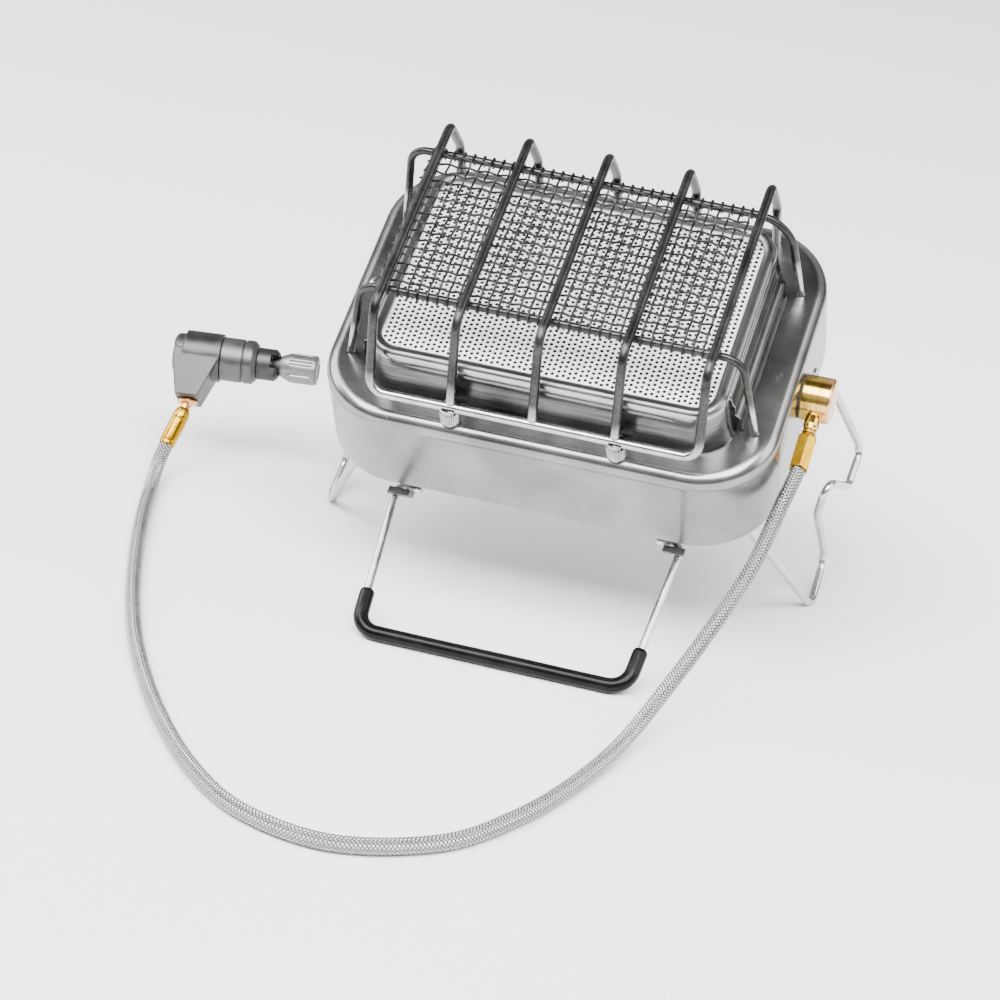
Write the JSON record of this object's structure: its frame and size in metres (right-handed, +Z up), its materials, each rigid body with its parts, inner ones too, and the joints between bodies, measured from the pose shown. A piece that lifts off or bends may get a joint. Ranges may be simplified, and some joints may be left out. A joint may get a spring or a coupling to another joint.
{
  "type": "portable propane heater",
  "caption": "Small table-top radiant gas heater: tilted steel body, ceramic burner under a wire guard and net, folding wire legs, braided hose with a valve.",
  "frame": {"origin": "on the ground, under the middle of the heater without its hose and valve", "axes": "+X to the heater's right, where the gas inlet is; -Y to the front, where the burner faces and the front leg stands; +Z up"},
  "size_m": [0.2783, 0.3035, 0.167],
  "materials": {
    "lid_steel": "satin stainless sheet",
    "frame_steel": "polished stainless pressing",
    "zinc_steel": "zinc-plated sheet and turned parts",
    "post_steel": "bright turned steel, knurled",
    "ceramic": "matt, perforated",
    "fibre": "pressed fibre",
    "brass": "turned, slightly dulled",
    "copper": "copper-coloured, turned",
    "guard_wire": "bright wire, heat-tinted on top",
    "net_wire": "dark crimped wire",
    "leg_wire": "bright wire",
    "black_sleeve": "glossy dipped vinyl",
    "joint": "matt",
    "braid": "fine stainless braid",
    "gunmetal": "satin, dark",
    "turned_steel": "turned, satin",
    "gland_black": "dark oxide"
  },
  "bodies": {
    "heater": {"body_shell": "lid_steel", "bottom_cover": "lid_steel", "burner_frame": "frame_steel", "cover_posts": "zinc_steel", "cover_screws": "zinc_steel", "gas_box": "zinc_steel", "mixing_tube": "zinc_steel", "leg_bracket_left": "zinc_steel", "leg_bracket_right": "zinc_steel", "bracket_rivets": "zinc_steel", "leg_eyelets": "zinc_steel", "guard_clips": "zinc_steel", "plate_screw_nut": "zinc_steel", "knurled_posts": "post_steel", "plate_screw": "post_steel", "ceramic_tile": "ceramic", "tile_gaskets": "fibre", "gas_jet": "brass", "inlet_elbow": "brass", "inlet_nut": "brass", "elbow_ferrule": "brass", "valve_ferrule": "brass", "canister_insert": "brass", "canister_pin": "brass", "valve_tail": "copper", "guard_frame": "guard_wire", "guard_rib_2": "guard_wire", "guard_rib_3": "guard_wire", "guard_rib_4": "guard_wire", "front_cross_wire": "guard_wire", "rear_cross_wire": "guard_wire", "guard_net": "net_wire", "inlet_washer": "joint", "canister_seal": "joint", "gas_hose": "braid", "valve_body": "gunmetal", "valve_bonnet": "turned_steel", "valve_gland": "gland_black"},
    "front_leg": {"front_leg": "leg_wire", "leg_sleeve": "black_sleeve"},
    "rear_leg": {"rear_leg": "leg_wire"},
    "knob": {"valve_knob": "turned_steel", "valve_spindle": "turned_steel", "knob_screw": "gland_black"}
  },
  "joints": [
    {"name": "front_leg_fold", "type": "hinge", "parent": "heater", "child": "front_leg", "pos_m": [0, -0.02308, 0.03923], "axis": [1, 0, 0], "range_deg": [0, 174]},
    {"name": "rear_leg_swing", "type": "hinge", "parent": "heater", "child": "rear_leg", "pos_m": [0, 0.03405, 0.09127], "axis": [1, 0, 0], "range_deg": [0, 180]},
    {"name": "knob_turn", "type": "hinge", "parent": "heater", "child": "knob", "pos_m": [-0.1637, 0.045, 0.0437], "axis": [0.9837, 0.1797, 0], "range_deg": [0, 540]}
  ]
}
